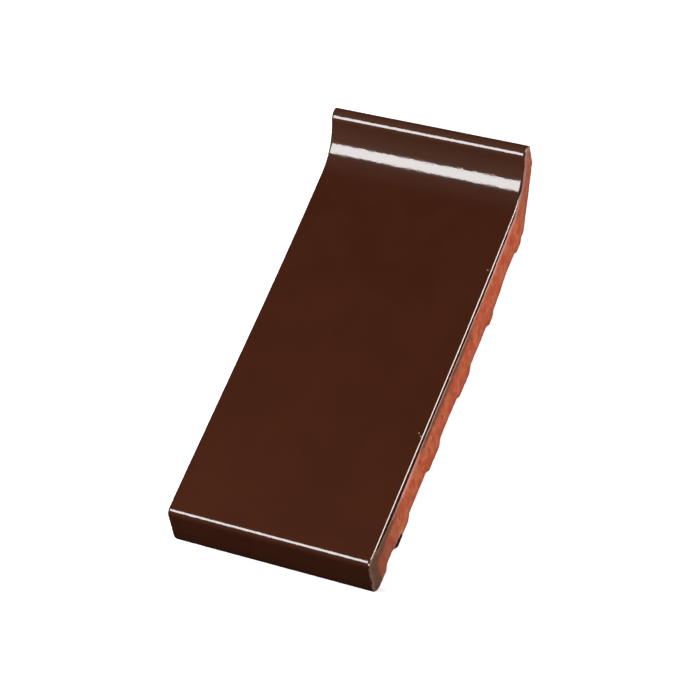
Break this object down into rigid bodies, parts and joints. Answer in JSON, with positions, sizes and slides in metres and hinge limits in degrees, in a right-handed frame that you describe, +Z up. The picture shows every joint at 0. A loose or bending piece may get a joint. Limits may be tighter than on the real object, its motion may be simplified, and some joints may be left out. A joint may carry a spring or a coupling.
{
  "type": "clinker window sill",
  "caption": "Glazed clinker window sill with a drip nose, a flat tread, a cove up to a raised back lip and a ribbed underside.",
  "frame": {"origin": "centre of the bounding box at its bottom, on the plane of the rib faces", "axes": "+Y from the drip nose to the raised lip, along the length; +Z up, out of the tread; X along the width, the direction that the section was pressed in"},
  "size_m": [0.11, 0.245, 0.049],
  "materials": {
    "clinker": "gloss brown glaze over the nose, tread, cove and lip; bare fired clay on the cut ends and the underside"
  },
  "bodies": {
    "root": {"window_sill": "clinker"}
  },
  "joints": []
}
